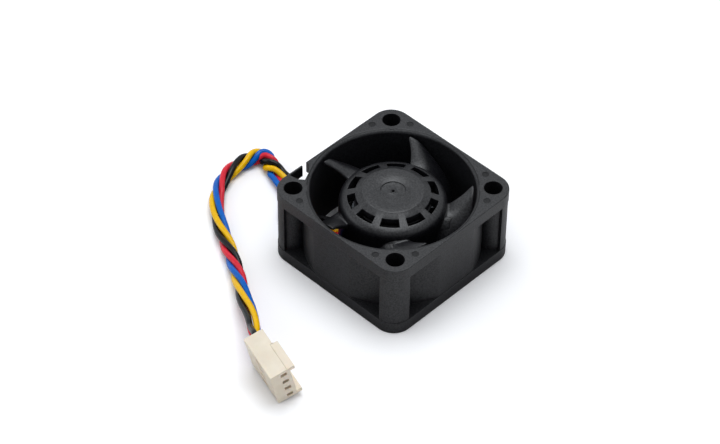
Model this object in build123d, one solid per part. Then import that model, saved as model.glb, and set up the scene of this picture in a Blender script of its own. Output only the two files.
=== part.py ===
from build123d import *
import math
import os

os.makedirs("parts", exist_ok=True)

# Square housing
frame_size = 40.0
frame_height = 20.0
corner_radius = 4.8
top_flange = 3.1
bottom_flange = 3.2
side_inset = 0.12
duct_edge = 1.1
duct_radius = frame_size / 2 - duct_edge
duct_wall = 1.7
mouth_flare = 1.0
mouth_radius = duct_radius + mouth_flare
mouth_depth = 0.55
hole_edge = 4.0
hole_pitch = frame_size - 2 * hole_edge
hole_diameter = 4.3
boss_radius = 3.2
post_width = 4.9
ejector_mark_diameter = 1.7
ejector_mark_offset = 4.3
ejector_mark_depth = 0.12

# Lead hook cut into the top flange
hook_wall = 0.5
hook_depth = 4.0
hook_gap_start = -9.5
hook_gap_end = -7.9
hook_near_edge = -13.6

# Motor base and its struts
base_radius = 12.2
base_floor = 1.4
base_rim_wall = 1.0
base_rim_height = 4.0
base_recess_radius = 10.6
base_recess_depth = 0.25
strut_height = 3.0
strut_width = 2.2
strut_angles = [300.0, 30.0, 120.0]
lead_strut_angle = 210.0
lead_strut_wall = 1.1
tube_boss_wall = 1.1
tube_boss_height = 4.4

# Leads
lead_diameter = 1.4
lead_pitch = 1.42
lead_clearance = 0.06
lead_bend_place = 1.98
lead_bend_radius = 4.2
cable_diameter = 3.4

# Bearings and shaft
shaft_radius = 1.0
bearing_radius = 2.5
bearing_width = 2.3
inner_ring_radius = 1.5
outer_ring_bore = 2.0
ball_radius = 0.4
ball_clearance = 0.02
ball_count = 7
cage_thickness = 0.3
lower_bearing_z = 2.4
upper_bearing_z = 12.1
tube_radius = 3.1
tube_step_radius = 2.1
tube_top = 14.6
shaft_bottom = 1.75
clip_thickness = 0.25
clip_radius = 1.7
clip_groove = 0.2
spring_wire = 0.22
spring_turns = 3
bush_radius = 2.2
bush_bottom = 15.4
bush_top = 17.2

# Impeller
hub_radius = 12.42
hub_wall = 0.97
hub_bottom = 4.6
hub_top = 19.25
hub_disc_radius = 7.1
hub_disc_step = 0.15
hub_skin = 1.0
hub_cone_radius = 10.75
hub_cone_drop = 1.45
hub_lip = 0.12
hub_shoulder_drop = 2.4
hub_boss_radius = 3.6
gate_recess_radius = 2.95
gate_recess_depth = 0.3
gate_dot_radius = 0.4
gate_dot_height = 0.15
vent_count = 10
vent_inner_radius = 8.85
vent_outer_radius = 10.3
vent_angle = 25.0
vent_phase = -50.3

# Blades
blade_count = 5
blade_tip_gap = 0.6
blade_tip_radius = duct_radius - blade_tip_gap
blade_phase = 123.4
blade_root_embed = 0.5
blade_tip_round = 0.9
blade_half_thickness = 0.5
blade_root_lead = 7.1
blade_root_sweep = 46.8
blade_tip_sweep = 42.4
blade_edge_bow = 0.8
# share of the chord, height at the hub, height at the tip, share of the full thickness
blade_stations = [
    (0.00, 15.3, 18.9, 0.62),
    (0.17, 15.1, 18.0, 1.00),
    (0.42, 14.2, 14.8, 1.00),
    (0.66, 12.1, 11.7, 0.90),
    (0.86, 8.6, 8.7, 0.75),
    (1.00, 5.2, 5.1, 0.55),
]

# Rotor yoke and magnet
yoke_wall = 0.7
yoke_bottom = 5.2
yoke_top = 16.4
yoke_corner = 1.3
magnet_wall = 1.0
magnet_bottom = 5.6
magnet_height = 8.6

# Stator
air_gap = 0.3
core_bottom = 7.2
core_height = 5.4
core_hub_wall = 1.5
pole_count = 4
pole_neck = 2.6
pole_shoe = 0.95
pole_shoe_angle = 76.0
insulator_wall = 0.5
insulator_reach = 8.2
insulator_lip = 1.9
insulator_block = 1.5
winding_build = 1.3
winding_start = 5.1
pin_radius = 0.25
pin_circle_radius = 6.6

# Circuit board
board_radius = 10.9
board_thickness = 0.8
board_fit = 0.05
chip_size = (3.9, 3.2, 1.0)
chip_place = (-6.9, 2.2)
sensor_size = (1.0, 2.6, 3.0)
sensor_circle = 8.8
sensor_angle = 45.0
capacitor_size = (1.6, 0.8, 0.8)
capacitor_places = [(6.2, -4.6), (7.8, -3.2), (2.4, -7.6)]

# Plug on the cable
plug_length = 12.6
plug_thickness = 4.8
plug_width = 10.1
plug_rib = 1.24
plug_rib_thickness = 1.0
plug_rib_length = 7.9
plug_pitch = 2.54
plug_ways = 4
plug_hole = (1.5, 0.95)
plug_hole_place = 3.1
plug_front_wall = 1.5
plug_cavity = (2.4, 2.0)
plug_window = (2.2, 1.2, 0.6)
plug_window_place = 6.0
plug_edge = 0.15
plug_corner = (15.2, -51.3, 0.02)
plug_yaw = -16.3
plug_dip = 3.3
plug_lean = 13.1
plug_approach = 5.5
contact_fit = 0.12
contact_wall = 0.2
contact_length = 6.0
crimp_radius = 0.55
crimp_length = 2.6

# Values that follow from the ones above
half = frame_size / 2
hole_place = hole_pitch / 2
hub_inner = hub_radius - hub_wall
magnet_outer = hub_inner - yoke_wall
magnet_inner = magnet_outer - magnet_wall
core_radius = magnet_inner - air_gap
core_top = core_bottom + core_height
board_bottom = base_floor + lead_diameter
board_top = board_bottom + board_thickness
lead_z = base_floor + lead_diameter / 2
lead_bend_x = -half + lead_bend_place
lead_exit_y = lead_bend_x * math.tan(math.radians(lead_strut_angle))
lead_names = ["black", "yellow", "red", "blue"]
lead_groove_width = 4 * lead_pitch + 2 * lead_clearance
ball_circle = (inner_ring_radius + outer_ring_bore) / 2


def write(shape, name):
    shape.label = name
    export_step(shape, "parts/" + name + ".step")


def polar(radius, angle, z=0.0):
    turn = math.radians(angle)
    return Vector(radius * math.cos(turn), radius * math.sin(turn), z)


def disc(radius, low, high, x=0.0, y=0.0):
    return Pos(x, y, (low + high) / 2) * Cylinder(radius, high - low)


def ring(outer, inner, low, high):
    return disc(outer, low, high) - disc(inner, low - 1, high + 1)


def turned(points):
    return revolve(make_face(Plane.XZ * Polyline(points, close=True)), Axis.Z)


def corner_signs():
    return [(1, 1), (-1, 1), (-1, -1), (1, -1)]


# Moulded frame: two flanges, the duct between them, four screw posts and the motor base
def square_plate(inset, low, high):
    outline = RectangleRounded(frame_size - 2 * inset, frame_size - 2 * inset, corner_radius - inset)
    return Pos(0, 0, low) * extrude(outline, high - low)


def make_shell():
    middle_low = bottom_flange
    middle_high = frame_height - top_flange
    middle = disc(duct_radius + duct_wall, middle_low, middle_high)
    middle_center = (middle_low + middle_high) / 2
    for sx, sy in corner_signs():
        middle += disc(boss_radius, middle_low, middle_high, sx * hole_place, sy * hole_place)
        block_center = half - post_width / 2
        block = Box(post_width, post_width, middle_high - middle_low)
        middle += Pos(sx * block_center, sy * block_center, middle_center) * block
    middle &= square_plate(side_inset, middle_low, middle_high)
    shell = middle + square_plate(0, 0, bottom_flange) + square_plate(0, middle_high, frame_height)
    return shell - disc(duct_radius, -1, frame_height + 1)


def make_mouth_cut():
    mouth_floor = frame_height - mouth_depth
    start = (duct_radius, mouth_floor)
    end = (mouth_radius, frame_height)
    width = mouth_radius - duct_radius
    curve = EllipticalCenterArc((mouth_radius, mouth_floor), width, mouth_depth, 90, arc_size=90)
    above = frame_height + 1
    inside = duct_radius - 1
    rest = Polyline(end, (mouth_radius, above), (inside, above), (inside, mouth_floor), start)
    cut = revolve(make_face(Plane.XZ * (curve + rest)), Axis.Z)
    for sx, sy in corner_signs():
        cut -= disc(boss_radius, 0, frame_height + 1, sx * hole_place, sy * hole_place)
    return cut


def make_hook_cut():
    inner_wall = -half + hook_wall
    outline = Polyline(
        (inner_wall, hook_near_edge),
        (-half + hook_wall + 2.3, hook_near_edge + 0.4),
        (-half + hook_depth, hook_near_edge + 1.4),
        (-half + hook_depth - 1.0, hook_gap_start - 0.6),
        (-half + duct_edge, hook_gap_end),
        (-half - 1, hook_gap_end),
        (-half - 1, hook_gap_start),
        (inner_wall, hook_gap_start),
        close=True,
    )
    low = frame_height - top_flange
    return Pos(0, 0, low - 0.01) * extrude(make_face(outline), top_flange + 1)


def make_ejector_marks():
    marks = []
    low = frame_height - ejector_mark_depth
    for sx, sy in corner_signs():
        for along_x, along_y in [(1, 0), (0, 1)]:
            x = sx * (hole_place + 2.0 - (ejector_mark_offset + 2.0) * along_x)
            y = sy * (hole_place + 2.0 - (ejector_mark_offset + 2.0) * along_y)
            if (sx, along_x) != (-1, 0) or sy > 0:
                marks.append(disc(ejector_mark_diameter / 2, low, frame_height + 1, x, y))
    return marks


def strut(angle, width, height):
    reach = duct_radius + 0.4 - (base_radius - 0.4)
    middle = base_radius - 0.4 + reach / 2
    return Rot(Z=angle) * Pos(middle, 0, height / 2) * Box(reach, width, height)


def make_base():
    base = turned([
        (0, base_recess_depth),
        (base_recess_radius, base_recess_depth),
        (base_recess_radius, 0),
        (base_radius, 0),
        (base_radius, base_rim_height),
        (base_radius - base_rim_wall, base_rim_height),
        (base_radius - base_rim_wall, base_floor),
        (tube_radius + tube_boss_wall + 0.6, base_floor),
        (tube_radius + tube_boss_wall + 0.6, board_bottom),
        (tube_radius + tube_boss_wall, board_bottom),
        (tube_radius + tube_boss_wall, tube_boss_height),
        (tube_radius, tube_boss_height),
        (tube_radius, base_floor),
        (0, base_floor),
    ])
    for angle in strut_angles:
        base += strut(angle, strut_width, strut_height)
    base += strut(lead_strut_angle, lead_groove_width + 2 * lead_strut_wall, strut_height)
    return base


def make_lead_groove():
    start = board_radius - 2.0
    bend = lead_bend_point()
    bend_distance = math.hypot(bend.X, bend.Y)
    height = base_rim_height + 1 - base_floor
    middle_z = base_floor + height / 2
    along = Rot(Z=lead_strut_angle) * Pos((start + bend_distance) / 2, 0, middle_z)
    groove = along * Box(bend_distance - start, lead_groove_width, height)
    groove += Pos(bend.X, bend.Y, middle_z) * Cylinder(lead_groove_width / 2, height)
    mouth = -half - 1
    groove += Pos((bend.X + mouth) / 2, bend.Y, middle_z) * Box(bend.X - mouth, lead_groove_width, height)
    return groove


def lead_bend_point():
    return Vector(lead_bend_x, lead_exit_y, lead_z)


def make_frame():
    body = make_shell() + make_base()
    body -= make_mouth_cut()
    body -= make_hook_cut()
    body -= make_lead_groove()
    for sx, sy in corner_signs():
        body -= disc(hole_diameter / 2, -1, frame_height + 1, sx * hole_place, sy * hole_place)
    for mark in make_ejector_marks():
        body -= mark
    return body


# Four leads from the board, along the wide strut and out through the frame's side
def make_lead(offset):
    across = polar(1, lead_strut_angle + 90)
    start = polar(board_radius - 1.6, lead_strut_angle, lead_z) + across * offset
    bend = lead_bend_point()
    turn = math.radians(lead_strut_angle - 180)
    slide = offset * math.tan(turn / 2)
    corner = Vector(bend.X + slide, bend.Y - offset, lead_z)
    out = Vector(-half + 0.1, bend.Y - offset, lead_z)
    path = FilletPolyline(start, corner, out, radius=lead_bend_radius + offset)
    section = Plane(origin=path @ 0, z_dir=path % 0) * Circle(lead_diameter / 2)
    return sweep(section, path)


# Shaft, clip and the two ball bearings
def make_shaft():
    groove_high = lower_bearing_z
    groove_low = groove_high - clip_thickness
    chamfer = 0.15
    return turned([
        (0, shaft_bottom),
        (shaft_radius - chamfer, shaft_bottom),
        (shaft_radius, shaft_bottom + chamfer),
        (shaft_radius, groove_low),
        (shaft_radius - clip_groove, groove_low),
        (shaft_radius - clip_groove, groove_high),
        (shaft_radius, groove_high),
        (shaft_radius, bush_top - chamfer),
        (shaft_radius - chamfer, bush_top),
        (0, bush_top),
    ])


def make_clip():
    low = lower_bearing_z - clip_thickness
    clip = ring(clip_radius, shaft_radius - clip_groove, low, lower_bearing_z)
    slit = Box(clip_radius + 1, shaft_radius, 4 * clip_thickness)
    return clip - Pos((clip_radius + 1) / 2, 0, low) * slit


def race_groove(z):
    return Pos(0, 0, z) * Torus(ball_circle, ball_radius + ball_clearance)


def make_outer_ring(low):
    middle = low + bearing_width / 2
    return ring(bearing_radius, outer_ring_bore, low, low + bearing_width) - race_groove(middle)


def make_inner_ring(low):
    middle = low + bearing_width / 2
    return ring(inner_ring_radius, shaft_radius, low, low + bearing_width) - race_groove(middle)


def make_balls(low):
    middle = low + bearing_width / 2
    balls = []
    for index in range(ball_count):
        place = polar(ball_circle, 360 * index / ball_count, middle)
        balls.append(Pos(place) * Sphere(ball_radius))
    return Compound(children=balls)


def make_cage(low):
    middle = low + bearing_width / 2
    reach = 0.12
    cage = ring(ball_circle + reach, ball_circle - reach, middle - cage_thickness, middle + ball_radius + 0.25)
    for index in range(ball_count):
        place = polar(ball_circle, 360 * index / ball_count, middle)
        cage -= Pos(place) * Sphere(ball_radius + ball_clearance)
    return cage


def make_spring():
    bottom = upper_bearing_z + bearing_width + spring_wire / 2
    top = bush_bottom - spring_wire / 2
    radius = shaft_radius + 0.1 + spring_wire / 2
    coil = Helix(pitch=(top - bottom) / spring_turns, height=top - bottom, radius=radius, center=(0, 0, bottom))
    section = Plane(origin=coil @ 0, z_dir=coil % 0) * Circle(spring_wire / 2)
    return sweep(section, coil, is_frenet=True)


def make_bearing_tube():
    lower_seat = lower_bearing_z + bearing_width
    return turned([
        (tube_radius, base_floor),
        (tube_radius, tube_top),
        (bearing_radius, tube_top),
        (bearing_radius, upper_bearing_z),
        (tube_step_radius, upper_bearing_z),
        (tube_step_radius, lower_seat),
        (bearing_radius, lower_seat),
        (bearing_radius, base_floor),
    ])


def make_bush():
    return ring(bush_radius, shaft_radius, bush_bottom, bush_top)


# Impeller: vented hub cup with five twisted blades
def make_hub():
    cone_top = hub_top - hub_disc_step
    cone_low = cone_top - hub_cone_drop
    shoulder_high = cone_low - hub_lip
    shoulder_low = shoulder_high - hub_shoulder_drop
    disc_edge = hub_disc_radius + hub_disc_step
    skin_low = cone_low - hub_skin
    under = hub_top - hub_skin - gate_recess_depth
    outside = [(0, hub_top), (hub_disc_radius, hub_top), (disc_edge, cone_top), (hub_cone_radius, cone_low)]
    lip = (hub_cone_radius, shoulder_high)
    outer = Polyline(*outside, lip)
    rise = shoulder_high - shoulder_low
    shoulder = EllipticalCenterArc((hub_cone_radius, shoulder_low), hub_radius - hub_cone_radius, rise, 0)
    inner_corner = yoke_top - yoke_corner
    inner = Polyline(
        (hub_radius, shoulder_low),
        (hub_radius, hub_bottom),
        (hub_inner, hub_bottom),
        (hub_inner, inner_corner),
        (hub_inner - yoke_corner, yoke_top),
        (hub_cone_radius - 0.3, skin_low),
        (disc_edge, under),
        (hub_boss_radius, under),
        (hub_boss_radius, yoke_top),
        (bush_radius, yoke_top),
        (bush_radius, bush_top),
        (0, bush_top),
        (0, hub_top),
    )
    hub = revolve(make_face(Plane.XZ * (outer + shoulder + inner)), Axis.Z)
    hub -= disc(gate_recess_radius, hub_top - gate_recess_depth, hub_top + 1)
    dot_low = hub_top - gate_recess_depth
    hub += Pos(0, 0, dot_low) * Cone(gate_dot_radius, 0.15, gate_dot_height, align=(Align.CENTER, Align.CENTER, Align.MIN))
    return hub - vent_slots(yoke_top + 0.1, hub_top + 1)


def vent_slots(low, high):
    sector = ring(vent_outer_radius, vent_inner_radius, low, high)
    reach = vent_outer_radius * 2
    side = reach * math.tan(math.radians(vent_angle / 2))
    wedge = Pos(0, 0, low) * extrude(make_face(Polyline((0, 0), (reach, -side), (reach, side), close=True)), high - low)
    slot = sector & wedge
    slots = [Rot(Z=vent_phase + 360 * index / vent_count) * slot for index in range(vent_count)]
    return Compound(children=slots)


def blade_point(station, radius):
    share, root_height, tip_height, thickness = station
    reach = (radius - hub_radius) / (blade_tip_radius - hub_radius)
    lag_root = blade_root_lead + blade_root_sweep * share
    lag_tip = blade_tip_sweep * share
    lag = lag_root + (lag_tip - lag_root) * reach
    lag += blade_edge_bow * 4 * reach * (1 - reach) * (1 - share) ** 2
    height = root_height + (tip_height - root_height) * reach
    return lag, height


def blade_section(distance):
    middle_lag = 0.5 * (blade_root_lead + blade_root_sweep + blade_tip_sweep) / 2 + 0.25 * blade_root_lead
    mean = []
    for station in blade_stations:
        radius = distance
        for _ in range(6):
            lag, height = blade_point(station, radius)
            swing = math.radians(middle_lag - lag)
            radius = distance / math.cos(swing)
        mean.append((distance * math.tan(swing), height))
    upper = []
    lower = []
    for index, (across, height) in enumerate(mean):
        before = mean[max(index - 1, 0)]
        after = mean[min(index + 1, len(mean) - 1)]
        run = after[0] - before[0]
        rise = after[1] - before[1]
        length = math.hypot(run, rise)
        grow = blade_half_thickness * blade_stations[index][3]
        upper.append((across + rise / length * grow, height - run / length * grow))
        lower.append((across - rise / length * grow, height + run / length * grow))
    first = mean[0]
    second = mean[1]
    run = first[0] - second[0]
    rise = first[1] - second[1]
    length = math.hypot(run, rise)
    grow = blade_half_thickness * blade_stations[0][3]
    nose = (first[0] + run / length * grow, first[1] + rise / length * grow)
    outline = Spline(*upper) + Line(upper[-1], lower[-1]) + Spline(*reversed(lower))
    outline += ThreePointArc(lower[0], nose, upper[0])
    facing = Plane(origin=polar(distance, -middle_lag), x_dir=polar(1, 90 - middle_lag), z_dir=polar(1, -middle_lag))
    return facing * make_face(outline)


def make_blade():
    inner = hub_radius - blade_root_embed
    sections = [blade_section(inner - 1.2 + step * (blade_tip_radius + 1.0 - inner) / 3) for step in range(4)]
    blade = loft(sections)
    low = hub_bottom + 0.1
    high = hub_top + 0.1
    limit = make_face(Plane.XZ * Polyline((inner, low), (blade_tip_radius, low), (blade_tip_radius, high), (inner, high), close=True))
    corner = limit.vertices().sort_by(Axis.Z)[-2:].sort_by(Axis.X)[-1]
    limit = fillet(corner, blade_tip_round)
    return blade & revolve(limit, Axis.Z)


def make_impeller():
    impeller = make_hub()
    blade = make_blade()
    for index in range(blade_count):
        impeller += Rot(Z=blade_phase + 360 * index / blade_count) * blade
    return impeller


# Steel yoke with the magnet ring inside it
def make_yoke():
    yoke = turned([
        (hub_inner, yoke_bottom),
        (hub_inner, yoke_top - yoke_corner),
        (hub_inner - yoke_corner, yoke_top),
        (bush_radius, yoke_top),
        (bush_radius, yoke_top - yoke_wall),
        (magnet_outer - yoke_corner + 0.3, yoke_top - yoke_wall),
        (magnet_outer, yoke_top - yoke_corner - 0.3),
        (magnet_outer, yoke_bottom),
    ])
    return yoke - vent_slots(yoke_top - yoke_wall - 1, yoke_top + 1)


def make_magnet():
    return ring(magnet_outer, magnet_inner, magnet_bottom, magnet_bottom + magnet_height)


# Stator: laminated core, two insulators and four windings
def pole_shape(low, high, neck, hub_outer, reach, shoe_inner):
    shape = disc(hub_outer, low, high)
    middle = (low + high) / 2
    for index in range(pole_count):
        angle = 360 * index / pole_count
        arm = Pos(reach / 2, 0, middle) * Box(reach, neck, high - low)
        shape += Rot(Z=angle) * arm
    if shoe_inner > 0:
        side = 2 * reach * math.tan(math.radians(pole_shoe_angle / 2))
        wedge = extrude(make_face(Polyline((0, 0), (2 * reach, -side), (2 * reach, side), close=True)), high - low)
        shoe = ring(reach, shoe_inner, low, high) & Pos(0, 0, low) * wedge
        for index in range(pole_count):
            shape += Rot(Z=360 * index / pole_count) * shoe
    shape &= disc(reach, low, high)
    return shape - disc(tube_radius, low - 1, high + 1)


def make_core():
    hub_outer = tube_radius + core_hub_wall
    return pole_shape(core_bottom, core_top, pole_neck, hub_outer, core_radius, core_radius - pole_shoe)


def insulator_half(seat, away):
    hub_outer = tube_radius + core_hub_wall
    neck = pole_neck + 2 * insulator_wall
    low = min(seat, seat + away * insulator_wall)
    shape = pole_shape(low, low + insulator_wall, neck, hub_outer, insulator_reach, 0)
    end = seat + away * insulator_lip
    lip_low = min(seat, end)
    lip = ring(insulator_reach, insulator_reach - insulator_wall, lip_low, lip_low + insulator_lip)
    wedge_side = insulator_reach * 0.55
    for index in range(pole_count):
        guard = Pos(insulator_reach / 2, 0, lip_low + insulator_lip / 2) * Box(insulator_reach, 2 * wedge_side, insulator_lip)
        shape += Rot(Z=360 * index / pole_count) * (lip & guard)
    return shape


def terminal_places():
    return [45 + 360 * index / pole_count for index in range(pole_count)]


def make_lower_insulator():
    shape = insulator_half(core_bottom, -1)
    reach = pin_circle_radius + insulator_block / 2 - tube_radius
    for angle in terminal_places():
        block = Pos(tube_radius + reach / 2, 0, core_bottom - insulator_block / 2)
        block = Rot(Z=angle) * block * Box(reach, insulator_block, insulator_block)
        shape += block
    shape -= disc(tube_radius, 0, core_top)
    for pin in make_pins().solids():
        shape -= pin
    return shape


def make_pins():
    pins = []
    for angle in terminal_places():
        place = polar(pin_circle_radius, angle)
        pins.append(disc(pin_radius, board_bottom - 0.4, core_bottom - 0.4, place.X, place.Y))
    return Compound(children=pins)


def make_winding(angle):
    inner_width = pole_neck + 2 * insulator_wall
    low = core_bottom - insulator_wall
    high = core_top + insulator_wall
    outer_width = inner_width + 2 * winding_build
    outer_height = high - low + 2 * winding_build
    length = insulator_reach - insulator_wall - winding_start
    center = Plane(origin=(winding_start, 0, (low + high) / 2), x_dir=(0, 1, 0), z_dir=(1, 0, 0))
    outline = RectangleRounded(outer_width, outer_height, winding_build)
    outline -= Rectangle(inner_width, high - low)
    winding = extrude(center * outline, length + 1) & disc(insulator_reach - insulator_wall, 0, frame_height)
    return Rot(Z=angle) * winding


# Circuit board and what is on it
def make_board():
    board = ring(board_radius, tube_radius + tube_boss_wall + board_fit, board_bottom, board_top)
    for pin in make_pins().solids():
        board -= pin
    return board


def on_board(size, x, y):
    return Pos(x, y, board_top + size[2] / 2) * Box(size[0], size[1], size[2])


def make_chip():
    chip = on_board(chip_size, chip_place[0], chip_place[1])
    edges = chip.edges().filter_by(Axis.Z, reverse=True).group_by(Axis.Z)[-1]
    body = chamfer(edges, 0.2)
    for step in [-1.5, -0.5, 0.5, 1.5]:
        y = chip_place[1] + step * 0.75
        leg = Box(chip_size[0] + 1.2, 0.35, 0.25)
        body += Pos(chip_place[0], y, board_top + 0.125) * leg
    return body


def make_sensor():
    body = Pos(sensor_circle, 0, board_top + sensor_size[2] / 2) * Box(*sensor_size)
    return Rot(Z=sensor_angle) * body


def make_capacitors():
    return Compound(children=[on_board(capacitor_size, x, y) for x, y in capacitor_places])


# Plug housing with its contacts, and the free cable
def plug_location():
    corner = Pos(plug_corner)
    return corner * Rot(Z=plug_yaw) * Rot(Y=plug_dip) * Rot(X=plug_lean)


def way_heights():
    middle = plug_width / 2
    return [middle + (index - (plug_ways - 1) / 2) * plug_pitch for index in range(plug_ways)]


def block(low, high):
    size = [b - a for a, b in zip(low, high)]
    center = [(a + b) / 2 for a, b in zip(low, high)]
    return Pos(*center) * Box(*size)


def make_plug():
    body = block((-plug_length, 0, 0), (0, plug_thickness, plug_width))
    edges = body.edges().filter_by(Axis.X)
    body = fillet(edges, plug_edge)
    side = plug_thickness - plug_edge
    outer = plug_thickness + plug_rib
    for low in (0, plug_width - plug_rib_thickness):
        body += block((-plug_rib_length, side, low), (0, outer, low + plug_rib_thickness))
    for z in way_heights():
        half_row = plug_cavity[1] / 2
        near = plug_thickness / 2 - plug_cavity[0] / 2
        body -= block((-plug_length - 1, near, z - half_row), (-plug_front_wall, near + plug_cavity[0], z + half_row))
        half_wide = plug_hole[0] / 2
        half_tall = plug_hole[1] / 2
        place = plug_hole_place
        body -= block((-plug_front_wall - 1, place - half_wide, z - half_tall), (1, place + half_wide, z + half_tall))
        middle = -plug_window_place
        half_long = plug_window[0] / 2
        half_row = plug_window[1] / 2
        body -= block((middle - half_long, -1, z - half_row), (middle + half_long, plug_window[2], z + half_row))
    return plug_location() * body


def make_contact(z):
    half_row = plug_cavity[1] / 2 - contact_fit
    near = plug_thickness / 2 - plug_cavity[0] / 2 + contact_fit
    far = near + plug_cavity[0] - 2 * contact_fit
    front = -plug_front_wall - contact_fit
    box_low = (front - contact_length, near, z - half_row)
    shell = block(box_low, (front, far, z + half_row))
    inside_low = (front - contact_length - 1, near + contact_wall, z - half_row + contact_wall)
    shell -= block(inside_low, (front + 1, far - contact_wall, z + half_row - contact_wall))
    tail = front - contact_length
    strip = block((tail - 1.0, near, z - half_row), (tail, near + contact_wall, z + half_row))
    barrel = Rot(Y=90) * Cylinder(crimp_radius + contact_wall, crimp_length)
    barrel -= Rot(Y=90) * Cylinder(crimp_radius, crimp_length + 1)
    middle = near + crimp_radius + contact_wall
    shell += strip + Pos(tail - crimp_length / 2 - 0.5, middle, z) * barrel
    return plug_location() * shell


# The cable lies on the floor in one loop and climbs a little to the plug
def cable_points():
    back = plug_location() * Pos(-plug_length, plug_thickness / 2, plug_width / 2)
    points = [
        (-half, lead_exit_y, lead_z),
        (-24.0, lead_exit_y, lead_z),
        (-28.4, -7.6, 1.9),
        (-32.2, -3.9, 1.8),
        (-36.8, -1.0, 1.75),
        (-41.8, -0.2, 1.75),
        (-45.3, -3.6, 1.75),
        (-44.8, -9.4, 1.75),
        (-42.5, -15.2, 1.75),
        (-37.8, -20.6, 1.75),
        (-31.2, -24.9, 1.75),
        (-24.4, -28.3, 1.8),
        (-17.8, -32.5, 2.2),
        (-11.4, -37.0, 3.3),
        (-5.2, -41.3, 4.9),
    ]
    before = plug_location() * Pos(-plug_length - plug_approach, plug_thickness / 2, plug_width / 2)
    return [Vector(*point) for point in points] + [before.position, back.position]


def corner_radii(points):
    radii = []
    for before, corner, after in zip(points, points[1:], points[2:]):
        arriving = corner - before
        leaving = after - corner
        turn = math.radians(arriving.get_angle(leaving))
        shorter = min(arriving.length, leaving.length)
        radii.append(0.45 * shorter / math.tan(turn / 2))
    return radii


def make_cable():
    points = cable_points()
    radii = corner_radii(points)
    path = FilletPolyline(*points, radius=radii)
    section = Plane(origin=path @ 0, z_dir=path % 0) * Circle(cable_diameter / 2)
    tube = sweep(section, path)
    expected = math.pi * (cable_diameter / 2) ** 2 * path.length
    print("cable radii", [round(value, 1) for value in radii])
    print("cable length", round(path.length, 2), "volume", round(tube.volume, 2), "expected", round(expected, 2))
    return tube


write(make_frame(), "fan_frame")
write(make_bearing_tube(), "bearing_tube")
for place, low in [("lower", lower_bearing_z), ("upper", upper_bearing_z)]:
    write(make_outer_ring(low), place + "_bearing_outer_ring")
    write(make_inner_ring(low), place + "_bearing_inner_ring")
    write(make_balls(low), place + "_bearing_balls")
    write(make_cage(low), place + "_bearing_cage")
write(make_shaft(), "shaft")
write(make_clip(), "shaft_clip")
write(make_spring(), "preload_spring")
write(make_bush(), "shaft_bush")
write(make_impeller(), "impeller")
write(make_yoke(), "rotor_yoke")
write(make_magnet(), "magnet_ring")
write(make_core(), "stator_core")
write(insulator_half(core_top, 1), "upper_insulator")
write(make_lower_insulator(), "lower_insulator")
for index in range(pole_count):
    write(make_winding(360 * index / pole_count), "winding_" + str(index + 1))
write(make_pins(), "winding_pins")
write(make_board(), "circuit_board")
write(make_chip(), "driver_chip")
write(make_sensor(), "hall_sensor")
write(make_capacitors(), "board_capacitors")
for index, name in enumerate(lead_names):
    write(make_lead((index - 1.5) * lead_pitch), "lead_" + name)
write(make_plug(), "plug_housing")
for index, z in enumerate(way_heights()):
    write(make_contact(z), "plug_contact_" + str(index + 1))
write(make_cable(), "cable")
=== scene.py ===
import bmesh
import bpy
import math
from mathutils import Matrix, Vector


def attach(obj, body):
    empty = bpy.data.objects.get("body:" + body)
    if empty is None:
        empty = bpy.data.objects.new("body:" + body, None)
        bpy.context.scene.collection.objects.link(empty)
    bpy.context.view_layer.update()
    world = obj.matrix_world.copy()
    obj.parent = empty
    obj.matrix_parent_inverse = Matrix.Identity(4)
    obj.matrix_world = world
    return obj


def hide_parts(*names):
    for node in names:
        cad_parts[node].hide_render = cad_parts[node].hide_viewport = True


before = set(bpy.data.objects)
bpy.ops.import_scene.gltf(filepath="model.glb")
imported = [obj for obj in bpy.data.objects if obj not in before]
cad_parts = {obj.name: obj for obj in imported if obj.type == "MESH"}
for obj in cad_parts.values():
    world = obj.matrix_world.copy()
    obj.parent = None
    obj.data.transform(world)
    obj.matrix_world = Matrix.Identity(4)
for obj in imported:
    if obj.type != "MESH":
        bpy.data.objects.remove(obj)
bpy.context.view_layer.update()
mm = 0.001


# The view: a long lens looks down at 45 degrees on the corner of the fan,
# with its lead side on the left.
camera_data = bpy.data.cameras.new("view_camera")
camera_data.lens = 132.77
camera_data.sensor_width = 36
camera_data.clip_end = 10
camera = bpy.data.objects.new("view_camera", camera_data)
bpy.context.scene.collection.objects.link(camera)
camera_heading = math.radians(43.934)
camera_dip = math.radians(45.031)
camera_roll = math.radians(0.693)
camera_place = Vector((292.723, -314.504, 439.023)) * mm
turned = Matrix.Rotation(camera_heading, 4, "Z")
tilted = Matrix.Rotation(math.pi / 2 - camera_dip, 4, "X")
rolled = Matrix.Rotation(camera_roll, 4, "Z")
camera.matrix_world = Matrix.Translation(camera_place) @ turned @ tilted @ rolled
bpy.context.scene.camera = camera
bpy.context.scene.view_settings.view_transform = "Standard"


# The leads: four stranded wires in PVC, 1.4 mm thick, laid together by hand in a slow
# left-hand twist. They leave the frame side by side and end in the plug's four ways.
def linear(code):
    channels = []
    for start in (1, 3, 5):
        value = int(code[start:start + 2], 16) / 255
        channels.append(value / 12.92 if value <= 0.04045 else ((value + 0.055) / 1.055) ** 2.4)
    return (*channels, 1.0)


def add_node(material, kind, settings=None, inputs=None):
    node = material.node_tree.nodes.new(kind)
    for name, value in (settings or {}).items():
        setattr(node, name, value)
    for name, value in (inputs or {}).items():
        if isinstance(value, bpy.types.NodeSocket):
            material.node_tree.links.new(value, node.inputs[name])
        else:
            node.inputs[name].default_value = value
    return node


def new_material(name):
    material = bpy.data.materials.new(name)
    material.use_nodes = True
    shader = material.node_tree.nodes["Principled BSDF"]
    return material, shader


def connect(material, output, shader, name):
    material.node_tree.links.new(output, shader.inputs[name])


def clear_selection():
    bpy.ops.object.select_all(action="DESELECT")


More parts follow.
